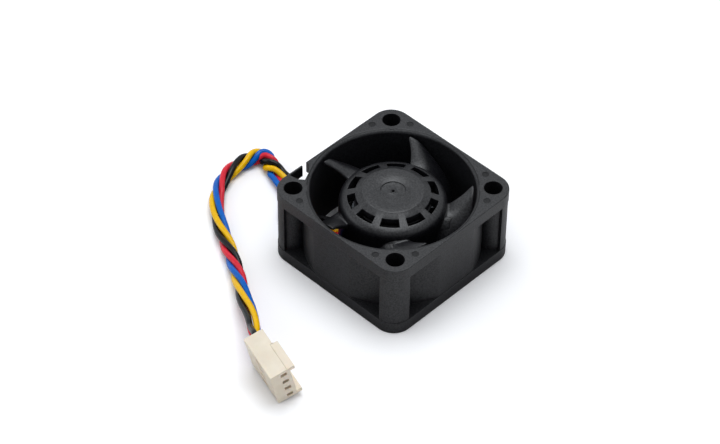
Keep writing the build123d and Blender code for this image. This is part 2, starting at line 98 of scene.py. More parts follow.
def make_active(piece):
    clear_selection()
    piece.select_set(True)
    bpy.context.view_layer.objects.active = piece


def join(main, others):
    make_active(main)
    for piece in others:
        piece.select_set(True)
    bpy.ops.object.join()


def smooth_value(points, x):
    """A smooth curve through listed pairs, level outside them."""
    if x <= points[0][0]:
        return points[0][1]
    if x >= points[-1][0]:
        return points[-1][1]
    slopes = []
    for index in range(len(points)):
        before = points[max(index - 1, 0)]
        after = points[min(index + 1, len(points) - 1)]
        slopes.append((after[1] - before[1]) / (after[0] - before[0]))
    for index in range(len(points) - 1):
        x0, y0 = points[index]
        x1, y1 = points[index + 1]
        if x <= x1:
            span = x1 - x0
            t = (x - x0) / span
            leaving = t ** 3 - 2 * t ** 2 + t
            arriving = t ** 3 - t ** 2
            first = (2 * t ** 3 - 3 * t ** 2 + 1) * y0 + leaving * span * slopes[index]
            last = (3 * t ** 2 - 2 * t ** 3) * y1 + arriving * span * slopes[index + 1]
            return first + last


lead_diameter = 1.4
lead_pitch = 1.42
bundle_radius = lead_diameter / math.sqrt(2)
plug_length = 12.6
plug_thickness = 4.8
plug_width = 10.1
plug_corner = Vector((15.2, -51.3, 0.02))
plug_yaw = math.radians(-16.3)
plug_dip = math.radians(3.3)
plug_lean = math.radians(13.1)
plug_place = Matrix.Translation(plug_corner)
plug_place = plug_place @ Matrix.Rotation(plug_yaw, 4, "Z")
plug_place = plug_place @ Matrix.Rotation(plug_dip, 4, "Y")
plug_place = plug_place @ Matrix.Rotation(plug_lean, 4, "X")
plug_up = plug_place.to_3x3() @ Vector((0, 0, 1))

# The middle of the set from the frame to the plug, with points listed in mm.
route_points = [
    (-20.0, -10.4, 2.1),
    (-23.0, -10.4, 2.1),
    (-26.0, -7.0, 1.95),
    (-29.4, -3.3, 1.85),
    (-34.6, -2.5, 1.8),
    (-39.0, -1.3, 1.8),
    (-42.7, 0.3, 1.8),
    (-44.2, -4.6, 1.8),
    (-44.2, -9.8, 1.8),
    (-42.4, -14.6, 1.8),
    (-38.6, -19.5, 1.8),
    (-31.7, -24.3, 1.8),
    (-24.7, -27.9, 1.8),
    (-17.4, -32.3, 2.2),
    (-11.2, -36.7, 3.3),
    (-5.2, -40.0, 4.6),
]
# Two more points bring it up to the plug's back and a little way inside.
for back_by, aside in ((3.6, 1.3), (-1.4, 0.0)):
    y = plug_thickness / 2 + aside
    point = plug_place @ Vector((-plug_length - back_by, y, plug_width / 2))
    route_points.append(tuple(point))

route_data = bpy.data.curves.new("lead_route", "CURVE")
route_data.dimensions = "3D"
route_data.resolution_u = 24
route_spline = route_data.splines.new("NURBS")
route_spline.points.add(len(route_points) - 1)
for point, place in zip(route_spline.points, route_points):
    point.co = (place[0] * mm, place[1] * mm, place[2] * mm, 1)
route_spline.order_u = 3
route_spline.use_endpoint_u = True
route = bpy.data.objects.new("lead_route", route_data)
bpy.context.scene.collection.objects.link(route)
route_mesh = bpy.data.meshes.new_from_object(route)
route_line = [vertex.co / mm for vertex in route_mesh.vertices]
bpy.data.objects.remove(route)

# Millimetres from the frame, and how many quarter turns the set has made there,
# counted from the side that faces up and to the front.
lay = [
    (0.0, -0.4),
    (16.0, -0.4),
    (18.5, -0.15),
    (20.5, 0.45),
    (22.4, 1.25),
    (24.4, 2.05),
    (27.1, 3.0),
    (30.2, 4.0),
    (34.8, 5.0),
    (39.5, 6.0),
    (45.0, 7.0),
    (54.4, 8.0),
    (60.9, 9.0),
    (66.4, 10.0),
    (72.0, 11.0),
    (78.6, 12.0),
    (86.0, 12.5),
    (99.0, 12.6),
]
# Millimetres from the frame, and how loosely the set lies there.
looseness = [
    (0.0, 1.0),
    (17.0, 1.1),
    (20.0, 1.4),
    (24.0, 1.3),
    (28.0, 1.22),
    (34.0, 1.12),
    (40.0, 1.03),
    (44.0, 1.08),
    (56.0, 1.12),
    (70.0, 1.05),
    (78.0, 1.05),
    (84.0, 1.15),
    (99.0, 1.0),
]
lead_order = ["yellow", "black", "red", "blue"]
side_by_side = {"black": 1.5, "yellow": 0.5, "red": -0.5, "blue": -1.5}
plug_ways = {"black": 3.5, "yellow": 1.27, "red": -1.27, "blue": -3.5}
twist_from = 12.0
twist_full = 22.0
fan_out_from = 7.5
fan_out_full = 1.6
floor_gap = 0.03
facing = camera_place.normalized()

distances = [0.0]
for before, after in zip(route_line, route_line[1:]):
    distances.append(distances[-1] + (after - before).length)
route_length = distances[-1]


def ease(x, start, end):
    t = min(max((x - start) / (end - start), 0.0), 1.0)
    return t * t * (3 - 2 * t)


def strand_line(colour):
    """The middle line of one lead: flat at the frame, then laid, then one above another."""
    index = lead_order.index(colour)
    line = []
    for step, place in enumerate(route_line):
        before = route_line[max(step - 1, 0)]
        after = route_line[min(step + 1, len(route_line) - 1)]
        along = (after - before).normalized()
        front = (facing - along * facing.dot(along)).normalized()
        side = along.cross(front)
        turn = -math.pi / 2 * (smooth_value(lay, distances[step]) - index)
        spread = bundle_radius * smooth_value(looseness, distances[step])
        laid = spread * (math.cos(turn) * front + math.sin(turn) * side)
        right = along.cross(Vector((0, 0, 1))).normalized()
        flat = right * side_by_side[colour] * lead_pitch
        fanned = plug_up * plug_ways[colour]
        leaving = ease(distances[step], twist_from, twist_full)
        entering = ease(distances[step], route_length - fan_out_from, route_length - fan_out_full)
        offset = flat * (1 - leaving) + laid * leaving
        spot = place + offset * (1 - entering) + fanned * entering
        spot.z = max(spot.z, lead_diameter / 2 + floor_gap)
        line.append(spot)
    return line


def lead_material(name, code, shade):
    # Soft PVC: smooth and slightly waxy, its colour clouded in patches of about 1 mm.
    material, shader = new_material(name)
    place = add_node(material, "ShaderNodeTexCoord")
    cloud = add_node(material, "ShaderNodeTexNoise", None, {
        "Vector": place.outputs["Object"], "Scale": 900.0, "Detail": 2.0,
    })
    ramp = add_node(material, "ShaderNodeValToRGB", None, {"Fac": cloud.outputs["Fac"]})
    ramp.color_ramp.elements[0].position = 0.3
    ramp.color_ramp.elements[0].color = linear(shade)
    ramp.color_ramp.elements[1].position = 0.7
    ramp.color_ramp.elements[1].color = linear(code)
    bump = add_node(material, "ShaderNodeBump", None, {
        "Height": cloud.outputs["Fac"], "Strength": 0.12, "Distance": 0.00004,
    })
    connect(material, ramp.outputs["Color"], shader, "Base Color")
    connect(material, bump.outputs["Normal"], shader, "Normal")
    shader.inputs["Roughness"].default_value = 0.22
    shader.inputs["Specular IOR Level"].default_value = 0.2
    return material


lead_materials = {
    "black": lead_material("pvc_black", "#101113", "#0A0B0C"),
    "yellow": lead_material("pvc_yellow", "#F4C000", "#EAB200"),
    "red": lead_material("pvc_red", "#E02C3C", "#D02236"),
    "blue": lead_material("pvc_blue", "#0064C4", "#005AB4"),
}
strands = []
for colour in lead_order:
    strand_data = bpy.data.curves.new("strand_" + colour, "CURVE")
    strand_data.dimensions = "3D"
    strand_data.bevel_depth = lead_diameter / 2 * mm
    strand_data.bevel_resolution = 6
    strand_data.use_fill_caps = True
    line = strand_line(colour)
    strand_spline = strand_data.splines.new("POLY")
    strand_spline.points.add(len(line) - 1)
    for point, place in zip(strand_spline.points, line):
        point.co = (place.x * mm, place.y * mm, place.z * mm, 1)
    strand = bpy.data.objects.new("strand_" + colour, strand_data)
    bpy.context.scene.collection.objects.link(strand)
    strand_data.materials.append(lead_materials[colour])
    make_active(strand)
    bpy.ops.object.convert(target="MESH")
    bpy.ops.object.shade_smooth()
    strands.append(bpy.context.object)
join(strands[0], strands[1:])
lead_set = bpy.context.object
lead_set.name = "lead_set"
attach(lead_set, "frame")
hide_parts("cable")
for colour in lead_order:
    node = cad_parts["lead_" + colour]
    node.data.materials.clear()
    node.data.materials.append(lead_materials[colour])


# The frame: one moulding in glass-filled black PBT. Two square flanges stand on a round
# duct and four corner posts, with open pockets between them and seven ejector-pin marks.
def add_block(name, low, high, angle=0.0):
    clear_selection()
    center = [(a + b) / 2 * mm for a, b in zip(low, high)]
    size = [(b - a) * mm for a, b in zip(low, high)]
    turn = Matrix.Rotation(angle, 3, "Z")
    bpy.ops.mesh.primitive_cube_add(
        size=1, location=turn @ Vector(center), rotation=(0, 0, angle), scale=size,
    )
    bpy.ops.object.transform_apply()
    bpy.context.object.name = name
    return bpy.context.object


def add_drum(name, radius, low, high, x=0.0, y=0.0, sides=96, turn=0.0):
    clear_selection()
    bpy.ops.mesh.primitive_cylinder_add(
        vertices=sides,
        radius=radius * mm,
        depth=(high - low) * mm,
        location=(x * mm, y * mm, (low + high) / 2 * mm),
        rotation=(0, 0, turn),
        end_fill_type="NGON",
    )
    bpy.ops.object.transform_apply()
    bpy.context.object.name = name
    return bpy.context.object


def combine(piece, tools, operation):
    for tool in tools:
        make_active(piece)
        modifier = piece.modifiers.new("combine", "BOOLEAN")
        modifier.operation = operation
        modifier.solver = "EXACT"
        modifier.object = tool
        bpy.ops.object.modifier_apply(modifier="combine")
        bpy.data.objects.remove(tool)


def start_edit(piece, mode):
    make_active(piece)
    bpy.ops.object.mode_set(mode="EDIT")
    bpy.ops.mesh.select_mode(type=mode)
    bpy.ops.mesh.select_all(action="DESELECT")
    return bmesh.from_edit_mesh(piece.data)


def end_edit():
    bpy.ops.object.mode_set(mode="OBJECT")


def is_upright(edge):
    first, second = (vertex.co for vertex in edge.verts)
    return abs(first.x - second.x) < 1e-6 and abs(first.y - second.y) < 1e-6


def round_corners(piece, radius):
    mesh = start_edit(piece, "EDGE")
    for edge in mesh.edges:
        if is_upright(edge):
            edge.select_set(True)
    bpy.ops.mesh.bevel(offset=radius * mm, segments=14, affect="EDGES")
    end_edit()


def round_rims(piece, radius, heights, segments):
    mesh = start_edit(piece, "EDGE")
    for edge in mesh.edges:
        first, second = (vertex.co.z / mm for vertex in edge.verts)
        edge.select_set(any(abs(first - z) < 1e-3 and abs(second - z) < 1e-3 for z in heights))
    bpy.ops.mesh.bevel(offset=radius * mm, segments=segments, affect="EDGES")
    end_edit()


def even_shading(piece, angle):
    make_active(piece)
    bpy.ops.object.shade_smooth_by_angle(angle=math.radians(angle))
    modifier = piece.modifiers.new("even_shading", "WEIGHTED_NORMAL")
    modifier.keep_sharp = True
    bpy.ops.object.modifier_apply(modifier="even_shading")


def grow(steps, place):
    """Carries the selected round face on through each radius and height."""
    for radius, height in steps:
        rise = (height - place[1]) * mm
        bpy.ops.mesh.extrude_region_move(TRANSFORM_OT_translate={"value": (0, 0, rise)})
        scale = radius / place[0]
        bpy.ops.transform.resize(value=(scale, scale, 1), center_override=(0, 0, 0))
        place = (radius, height)


def pick_end(mesh, up):
    ends = [face for face in mesh.faces if face.normal.z * up > 0.9 and len(face.verts) > 20]
    for face in ends:
        face.select_set(True)


frame_size = 40.0
frame_height = 20.0
half = frame_size / 2
corner_radius = 4.8
side_inset = 0.12
flange_low = 3.2
flange_high = 16.9
duct_radius = 18.9
duct_outer_radius = 20.6
boss_radius = 3.2
post_face = 15.1
post_outside = 21.0
hole_place = 16.0
hole_radius = 2.15
corners = [(1, 1), (-1, 1), (-1, -1), (1, -1)]

housing = add_block("fan_housing", (-half, -half, 0), (half, half, frame_height))
round_corners(housing, corner_radius)
round_rims(housing, 0.2, (0, frame_height), 4)

core = add_drum("core", duct_outer_radius, flange_low - 0.3, flange_high + 0.3, sides=192)
posts = []
for sx, sy in corners:
    x, y = sx * hole_place, sy * hole_place
    posts.append(add_drum("boss", boss_radius, flange_low - 0.2, flange_high + 0.2, x, y, 64))
    across_x = sorted((sx * post_face, sx * post_outside))
    across_y = sorted((sy * post_face, sy * post_outside))
    low = (across_x[0], across_y[0], flange_low - 0.25)
    high = (across_x[1], across_y[1], flange_high + 0.25)
    posts.append(add_block("post", low, high))
combine(core, posts, "UNION")
inset = half - side_inset
low = (-inset, -inset, flange_low - 0.5)
outline = add_block("outline", low, (inset, inset, flange_high + 0.5))
round_corners(outline, corner_radius - side_inset)
combine(core, [outline], "INTERSECT")
outside = half + 2
pockets = add_block("pockets", (-outside, -outside, flange_low), (outside, outside, flange_high))
combine(pockets, [core], "DIFFERENCE")
combine(housing, [pockets], "DIFFERENCE")

bore = add_drum("bore", duct_radius, -1, frame_height + 1, sides=256)
combine(housing, [bore], "DIFFERENCE")

mouth_core = duct_radius - 0.2
mouth_low = frame_height - 0.82
mouth = add_drum("mouth", mouth_core, mouth_low - 0.04, mouth_low, sides=256)
mesh = start_edit(mouth, "FACE")
pick_end(mesh, 1)
flare = [
    (18.9, 19.22), (18.93, 19.38), (19.02, 19.54), (19.18, 19.7), (19.42, 19.85), (19.68, 19.95),
    (19.9, 20.002), (19.95, 20.6),
]
grow(flare, (mouth_core, mouth_low))
end_edit()
bosses = []
for sx, sy in corners:
    bosses.append(add_drum("boss", boss_radius, 15, 25, sx * hole_place, sy * hole_place, 96))
combine(mouth, bosses, "DIFFERENCE")
combine(housing, [mouth], "DIFFERENCE")

holes = []
for sx, sy in corners:
    x, y = sx * hole_place, sy * hole_place
    holes.append(add_drum("hole", hole_radius, -0.12, frame_height + 0.12, x, y, 72))
combine(housing, holes, "DIFFERENCE")

# The hook that the leads can be laid under is cut through the top flange.
hook_wall = -half + 0.5
hook_outline = [
    (hook_wall, -13.6), (-17.2, -13.2), (-16.0, -12.2), (-17.0, -10.1), (-18.9, -7.9), (-21, -7.9),
    (-21, -9.5), (hook_wall, -9.5),
]
clear_selection()
bpy.ops.mesh.primitive_circle_add(
    vertices=len(hook_outline),
    radius=mm,
    fill_type="NGON",
    location=(0, 0, (flange_high - 0.2) * mm),
)
bpy.ops.object.transform_apply()
notch = bpy.context.object
for vertex, (x, y) in zip(notch.data.vertices, hook_outline):
    vertex.co.x = x * mm
    vertex.co.y = y * mm
start_edit(notch, "FACE")
bpy.ops.mesh.select_all(action="SELECT")
bpy.ops.mesh.extrude_region_move(TRANSFORM_OT_translate={"value": (0, 0, 5 * mm)})
bpy.ops.mesh.select_all(action="SELECT")
bpy.ops.mesh.normals_make_consistent(inside=False)
end_edit()
combine(housing, [notch], "DIFFERENCE")

# Marks of the ejector pins: shallow discs beside the screw holes, smoother than the rest.
mark_radius = 0.85
mark_floor = frame_height - 0.1
mark_places = [
    (11.8, -17.95), (17.95, -11.6), (11.8, 18.0), (17.8, 11.9), (-18.1, 11.7), (-11.9, 18.0),
    (-12.0, -17.9),
]
marks = []
for x, y in mark_places:
    marks.append(add_drum("mark", mark_radius, mark_floor, frame_height + 1, x, y, 32))
combine(housing, marks, "DIFFERENCE")

lead_angle = math.radians(210)
groove_half = (4 * lead_pitch + 0.12) / 2
groove_from = 9.3
groove_low = 1.4
groove_high = 5.0
bend_x = -half + 1.98
bend_y = bend_x * math.tan(lead_angle)


def lead_groove():
    """Cutters for the leads' way: along the wide strut, round a bend and out of the side."""
    reach = math.hypot(bend_x, bend_y)
    along_low = (groove_from, -groove_half, groove_low)
    along = add_block("groove", along_low, (reach, groove_half, groove_high), lead_angle)
    bend = add_drum("groove_bend", groove_half, groove_low, groove_high, bend_x, bend_y, 64)
    exit_low = (-half - 1, bend_y - groove_half, groove_low)
    leads_exit = add_block("groove_exit", exit_low, (bend_x, bend_y + groove_half, groove_high))
    return [along, bend, leads_exit]


combine(housing, lead_groove(), "DIFFERENCE")

# The motor base, with a rim round the board and a socket for the bearing tube. Three plain
# struts and the wide one for the leads carry it.
base = add_drum("motor_base", 12.05, 0.0, 3.85, sides=128)
mesh = start_edit(base, "FACE")
pick_end(mesh, 1)
rim = [
    (12.05, 4.0), (11.35, 4.0), (11.2, 3.85), (11.2, 1.4), (4.8, 1.4), (4.8, 2.8), (4.2, 2.8),
    (4.2, 4.3), (4.1, 4.4), (3.1, 4.4), (3.1, 1.4),
]
grow(rim, (12.05, 3.85))
end_edit()
mesh = start_edit(base, "FACE")
pick_end(mesh, -1)
grow([(11.9, 0.0), (10.6, 0.0), (10.6, 0.25)], (12.05, 0.0))
end_edit()
strut_from = 11.9
strut_to = 19.3
strut_half = 1.1
strut_high = 3.0
struts = []
for angle in (300, 30, 120):
    low = (strut_from, -strut_half, 0)
    struts.append(add_block("strut", low, (strut_to, strut_half, strut_high), math.radians(angle)))
wide_half = groove_half + strut_half
low = (strut_from, -wide_half, 0)
struts.append(add_block("lead_strut", low, (strut_to, wide_half, strut_high), lead_angle))
for strut in struts:
    make_active(strut)
    bpy.ops.object.mode_set(mode="EDIT")
    bpy.ops.mesh.select_mode(type="EDGE")
    bpy.ops.mesh.select_all(action="SELECT")
    bpy.ops.mesh.bevel(offset=0.2 * mm, segments=3, affect="EDGES")
    end_edit()
combine(base, struts, "UNION")
combine(base, lead_groove(), "DIFFERENCE")

even_shading(housing, 24)
even_shading(base, 24)
join(housing, [base])


def moulded_plastic(name, light, dark, grain_mm, roughness, relief, edge_mm, shine=(0.3, 0.56)):
    # Spark-eroded mould skin: a dull, close mottle of tiny pits that catches light as
    # specks. The real grain is about 0.1 mm and is drawn coarser so that it shows. The
    # two numbers of shine are the reflection of the pits and of the skin between them.
    material, shader = new_material(name)
    place = add_node(material, "ShaderNodeTexCoord")
    grain = add_node(material, "ShaderNodeTexNoise", None, {
        "Vector": place.outputs["Object"], "Scale": 1000 / grain_mm, "Detail": 3.0,
        "Roughness": 0.65,
    })
    cloud = add_node(material, "ShaderNodeTexNoise", None, {
        "Vector": place.outputs["Object"], "Scale": 120.0, "Detail": 2.0,
    })
    mixed = add_node(material, "ShaderNodeMath", {"operation": "MULTIPLY_ADD"}, {
        0: cloud.outputs["Fac"], 1: 0.25, 2: grain.outputs["Fac"],
    })
    ramp = add_node(material, "ShaderNodeValToRGB", None, {"Fac": mixed.outputs["Value"]})
    ramp.color_ramp.elements[0].position = 0.42
    ramp.color_ramp.elements[0].color = linear(dark)
    ramp.color_ramp.elements[1].position = 0.82
    ramp.color_ramp.elements[1].color = linear(light)
    gloss = add_node(material, "ShaderNodeMapRange", None, {
        "Value": grain.outputs["Fac"], "From Min": 0.3, "From Max": 0.7, "To Min": roughness - 0.07,
        "To Max": roughness + 0.07,
    })
    edge = add_node(material, "ShaderNodeBevel", {"samples": 4}, {"Radius": edge_mm * mm})
    bump = add_node(material, "ShaderNodeBump", None, {
        "Height": grain.outputs["Fac"], "Strength": relief, "Distance": 0.00006,
        "Normal": edge.outputs["Normal"],
    })
    connect(material, ramp.outputs["Color"], shader, "Base Color")
    connect(material, gloss.outputs["Result"], shader, "Roughness")
    connect(material, bump.outputs["Normal"], shader, "Normal")
    sparkle = add_node(material, "ShaderNodeMapRange", None, {
        "Value": grain.outputs["Fac"], "From Min": 0.35, "From Max": 0.65, "To Min": shine[0],
        "To Max": shine[1],
    })
    connect(material, sparkle.outputs["Result"], shader, "Specular IOR Level")
    return material


frame_plastic = moulded_plastic("black_moulded_pbt", "#17171B", "#08080A", 0.4, 0.46, 0.6, 0.1)
pin_mark = moulded_plastic("smooth_pin_mark", "#0E0E10", "#08080A", 0.3, 0.5, 0.2, 0.1, (0.18, 0.3))
housing.data.materials.clear()
housing.data.materials.append(frame_plastic)
housing.data.materials.append(pin_mark)
for face in housing.data.polygons:
    face.material_index = int(abs(face.center.z / mm - mark_floor) < 0.01 and face.normal.z > 0.9)
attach(housing, "frame")
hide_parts("fan_frame")


# The impeller: hub cup and five blades moulded in one in black PBT. The hub has a raised
# disc with a gate mark, ten vent slots round its cone and a full round shoulder.
hub_radius = 12.42
hub_side_low = 4.75
hub_side_high = 15.13
hub_turn = math.radians(0.2)
hub = add_drum(
    "impeller_moulding", hub_radius, hub_side_low, hub_side_high, sides=360, turn=hub_turn,
)
mesh = start_edit(hub, "FACE")
pick_end(mesh, 1)
shoulder = [
    (12.4, 15.6), (12.33, 16.02), (12.2, 16.4), (11.98, 16.76), (11.7, 17.06), (11.38, 17.3),
    (11.04, 17.5), (10.68, 17.67),
]
vent_inner = 8.65
vent_outer = 10.45
cone = [(vent_outer, 17.774), (vent_inner, 18.526), (7.34, 19.07)]
disc = [
    (7.26, 19.12), (7.12, 19.22), (6.98, 19.25), (3.0, 19.25), (2.92, 19.2), (2.85, 18.97),
    (2.7, 18.93), (1.9, 18.93), (1.45, 18.88),
]
gate = [(0.95, 18.88), (0.74, 18.93), (0.6, 19.08), (0.46, 19.09), (0.36, 18.98), (0.3, 18.5)]
grow(shoulder + cone + disc + gate, (hub_radius, hub_side_high))
end_edit()
mesh = start_edit(hub, "FACE")
pick_end(mesh, -1)
hub_inside = [
    (12.27, 4.6), (11.6, 4.6), (11.45, 4.75), (11.45, 15.1), (vent_outer, 16.15),
    (vent_inner, 17.2), (7.25, 17.95), (3.6, 17.95), (3.6, 16.4), (2.2, 16.4), (2.2, 17.2),
]
grow(hub_inside, (hub_radius, hub_side_low))
end_edit()


def turn_between(angle, center):
    return (angle - center + 180) % 360 - 180


# Each vent: the ring's faces inside and outside are picked over its width and bridged.
vent_count = 10
vent_phase = -50.3
vent_width = 25.0
for index in range(vent_count):
    center = vent_phase + 360 / vent_count * index
    mesh = start_edit(hub, "FACE")
    for face in mesh.faces:
        spot = face.calc_center_median() / mm
        radius = math.hypot(spot.x, spot.y)
        angle = math.degrees(math.atan2(spot.y, spot.x))
        in_ring = vent_inner < radius < vent_outer and spot.z > 16.0
        face.select_set(in_ring and abs(turn_between(angle, center)) < vent_width / 2)
    bpy.ops.mesh.bridge_edge_loops()
    end_edit()
# The vents' top edges are broken by a small radius.
mesh = start_edit(hub, "EDGE")
for edge in mesh.edges:
    if len(edge.link_faces) == 2:
        upward = [face.normal.z > 0.7 for face in edge.link_faces]
        spot = (edge.verts[0].co + edge.verts[1].co) / 2 / mm
        radius = math.hypot(spot.x, spot.y)
        steep = [abs(face.normal.z) < 0.45 for face in edge.link_faces]
        on_vent = vent_inner - 0.05 < radius < vent_outer + 0.05 and spot.z > 17.6
        edge.select_set(any(upward) and any(steep) and on_vent)
bpy.ops.mesh.bevel(offset=0.1 * mm, segments=2, affect="EDGES")
end_edit()

blade_count = 5
blade_phase = 123.4
blade_root = 11.95
blade_tip = 18.3
root_lead = 7.1
root_sweep = 46.8
tip_sweep = 42.4
edge_bow = 1.4
# Share of the way from the leading to the trailing edge, and the heights of root and tip.
blade_stations = [
    (0.00, 14.7, 19.15),
    (0.17, 14.6, 18.1),
    (0.42, 14.2, 14.8),
    (0.66, 12.1, 11.7),
    (0.86, 8.6, 8.7),
    (1.00, 5.2, 5.1),
]
root_heights = [(share, low) for share, low, high in blade_stations]
tip_heights = [(share, high) for share, low, high in blade_stations]
half_thickness_along = [
    (0.0, 0.34), (0.04, 0.42), (0.2, 0.5), (0.55, 0.48), (0.85, 0.36), (1.0, 0.27),
]


def blade_middle(share, radius):
    """Degrees behind the leading tip, and height, of the blade's mean surface."""
    reach = (radius - hub_radius) / (blade_tip - hub_radius)
    lag_root = root_lead + root_sweep * share
    lag_tip = tip_sweep * share
    bow = edge_bow * 4 * reach * (1 - reach) * (1 - share) ** 2
    low = smooth_value(root_heights, share)
    high = smooth_value(tip_heights, share)
    return lag_root + (lag_tip - lag_root) * reach + bow, low + (high - low) * reach


def blade_spot(share, radius, side, grow_by):
    """Angle and height of a point on one skin, grow_by off the mean surface."""
    lag, height = blade_middle(share, radius)
    ahead = blade_middle(min(share + 0.01, 1.0), radius)
    behind = blade_middle(max(share - 0.01, 0.0), radius)
    run = math.radians(ahead[0] - behind[0]) * radius
    rise = ahead[1] - behind[1]
    size = math.hypot(run, rise)
    back = rise / size * side * grow_by
    lifted = run / size * side * grow_by
    return (math.radians(-lag) * radius + back) / radius, height + lifted


# A flat grid is wrapped round the blade: its columns run from the leading edge along the
# upper skin to the trailing edge and back below, and its rows from the root to the tip.
blade_columns = 96
blade_length = 20.0
corner_round = 0.9
fillet_gain = 1.1
fillet_reach = 0.3
tip_round_from = 18.05
tip_round = 0.25
across_span = [
    11.95, 12.2, 12.45, 12.62, 12.8, 13.05, 13.4, 14.0, 14.8, 15.7, 16.6, 17.4, 17.9, 18.1, 18.2,
    18.27, 18.3,
]
clear_selection()
rows = len(across_span) - 1
bpy.ops.mesh.primitive_grid_add(x_subdivisions=blade_columns, y_subdivisions=rows, size=2)
blade = bpy.context.object
blade.name = "blade"
for vertex in blade.data.vertices:
    turn = (vertex.co.x + 1) / 2
    row = round((vertex.co.y + 1) / 2 * rows)
    if turn <= 0.5:
        share, side = turn * 2, 1
    else:
        share, side = 2 - turn * 2, -1
    # The columns lie closer together towards the two edges.
    share = share * share * (3 - 2 * share) * 0.35 + share * 0.65
    nose = min(share, 1 - share) * blade_length
    into_corner = 1 - min(share * blade_length / corner_round, 1)
    trim = corner_round * (1 - math.sqrt(1 - into_corner ** 2))
    span = (blade_tip - trim - blade_root) / (blade_tip - blade_root)
    radius = blade_root + (across_span[row] - blade_root) * span
    half_thick = smooth_value(half_thickness_along, share)
    # It thickens into the hub and thins to a round nose, tail and tip.
    half_thick *= 1 + fillet_gain * math.exp(-max(radius - hub_radius, 0) / fillet_reach)
    if nose < half_thick:
        half_thick *= math.sqrt(max(1 - (1 - nose / half_thick) ** 2, 0))
    edge = max(across_span[row] - tip_round_from, 0) / tip_round
    half_thick *= math.sqrt(max(1 - 0.75 * edge ** 2, 0.05))
    angle, height = blade_spot(share, radius, side, half_thick)
    vertex.co = Vector((radius * math.cos(angle), radius * math.sin(angle), height)) * mm
start_edit(blade, "VERT")
bpy.ops.mesh.select_all(action="SELECT")
bpy.ops.mesh.remove_doubles(threshold=0.002 * mm)
end_edit()
start_edit(blade, "EDGE")
bpy.ops.mesh.select_non_manifold(extend=False)
bpy.ops.mesh.fill()
bpy.ops.mesh.select_all(action="SELECT")
bpy.ops.mesh.normals_make_consistent(inside=False)
end_edit()
make_active(blade)
bpy.ops.object.shade_smooth_by_angle(angle=math.radians(50))
even_shading(hub, 35)

blades = []
for index in range(blade_count):
    copy = blade.copy()
    copy.data = blade.data.copy()
    bpy.context.scene.collection.objects.link(copy)
    angle = math.radians(blade_phase + 360 / blade_count * index)
    copy.data.transform(Matrix.Rotation(angle, 4, "Z"))
    blades.append(copy)
bpy.data.objects.remove(blade)
join(hub, blades)
impeller_plastic = moulded_plastic(
    "black_impeller_pbt", "#151519", "#08080A", 0.4, 0.39, 0.6, 0.06, (0.32, 0.6),
)
hub.data.materials.clear()
hub.data.materials.append(impeller_plastic)
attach(hub, "rotor")
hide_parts("impeller")


# The plug: a natural-coloured nylon housing with four ways at 2.54 mm. It stands on its
# narrow side, and two thin ribs on one face key it to its header.
plug = add_block("plug_shell", (-plug_length, 0, 0), (0, plug_thickness, plug_width))
rib_length = 7.9
rib_rise = 1.24
rib_thickness = 1.0
ribs = []
for z in (0.0, plug_width - rib_thickness):
    low = (-rib_length, plug_thickness - 0.6, z)
    ribs.append(add_block("rib", low, (0, plug_thickness + rib_rise, z + rib_thickness)))
combine(plug, ribs, "UNION")
mesh = start_edit(plug, "EDGE")
for edge in mesh.edges:
    if len(edge.link_faces) == 2 and edge.calc_face_angle(0) > 1.0:
        edge.select_set(True)
bpy.ops.mesh.bevel(offset=0.13 * mm, segments=3, affect="EDGES")
end_edit()
way_pitch = 2.54
front_wall = 1.5
cavity_middle = plug_thickness / 2
pin_middle = 3.1
ways = []
for step in (-1.5, -0.5, 0.5, 1.5):
    z = plug_width / 2 + step * way_pitch
    cavity_low = (-plug_length - 1, cavity_middle - 1.2, z - 1.0)
    ways.append(add_block("cavity", cavity_low, (-front_wall, cavity_middle + 1.2, z + 1.0)))
    pin_low = (-front_wall - 1, pin_middle - 0.75, z - 0.475)
    ways.append(add_block("pin_hole", pin_low, (1, pin_middle + 0.75, z + 0.475)))
    ways.append(add_block("latch_window", (-7.1, -1, z - 0.6), (-4.9, 0.6, z + 0.6)))
combine(plug, ways, "DIFFERENCE")
plug.data.transform(Matrix.Scale(mm, 4) @ plug_place @ Matrix.Scale(1 / mm, 4))
even_shading(plug, 40)

# Natural nylon 66: ivory, a little translucent at its edges, with a satin moulded skin.
nylon, shader = new_material("natural_nylon")
place = add_node(nylon, "ShaderNodeTexCoord")
cloud = add_node(nylon, "ShaderNodeTexNoise", None, {
    "Vector": place.outputs["Object"], "Scale": 260.0, "Detail": 3.0,
})
skin = add_node(nylon, "ShaderNodeTexNoise", None, {
    "Vector": place.outputs["Object"], "Scale": 3200.0, "Detail": 2.0,
})
ramp = add_node(nylon, "ShaderNodeValToRGB", None, {"Fac": cloud.outputs["Fac"]})
ramp.color_ramp.elements[0].position = 0.3
ramp.color_ramp.elements[0].color = linear("#E2D4BF")
ramp.color_ramp.elements[1].position = 0.7
ramp.color_ramp.elements[1].color = linear("#EBDFCC")
bump = add_node(nylon, "ShaderNodeBump", None, {
    "Height": skin.outputs["Fac"], "Strength": 0.15, "Distance": 0.00003,
})
connect(nylon, ramp.outputs["Color"], shader, "Base Color")
connect(nylon, bump.outputs["Normal"], shader, "Normal")
shader.inputs["Roughness"].default_value = 0.5
shader.inputs["IOR"].default_value = 1.53
shader.inputs["Subsurface Weight"].default_value = 0.25
shader.inputs["Subsurface Radius"].default_value = (1.0, 0.7, 0.4)
shader.inputs["Subsurface Scale"].default_value = 0.0006
plug.data.materials.clear()
plug.data.materials.append(nylon)
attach(plug, "frame")
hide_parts("plug_housing")


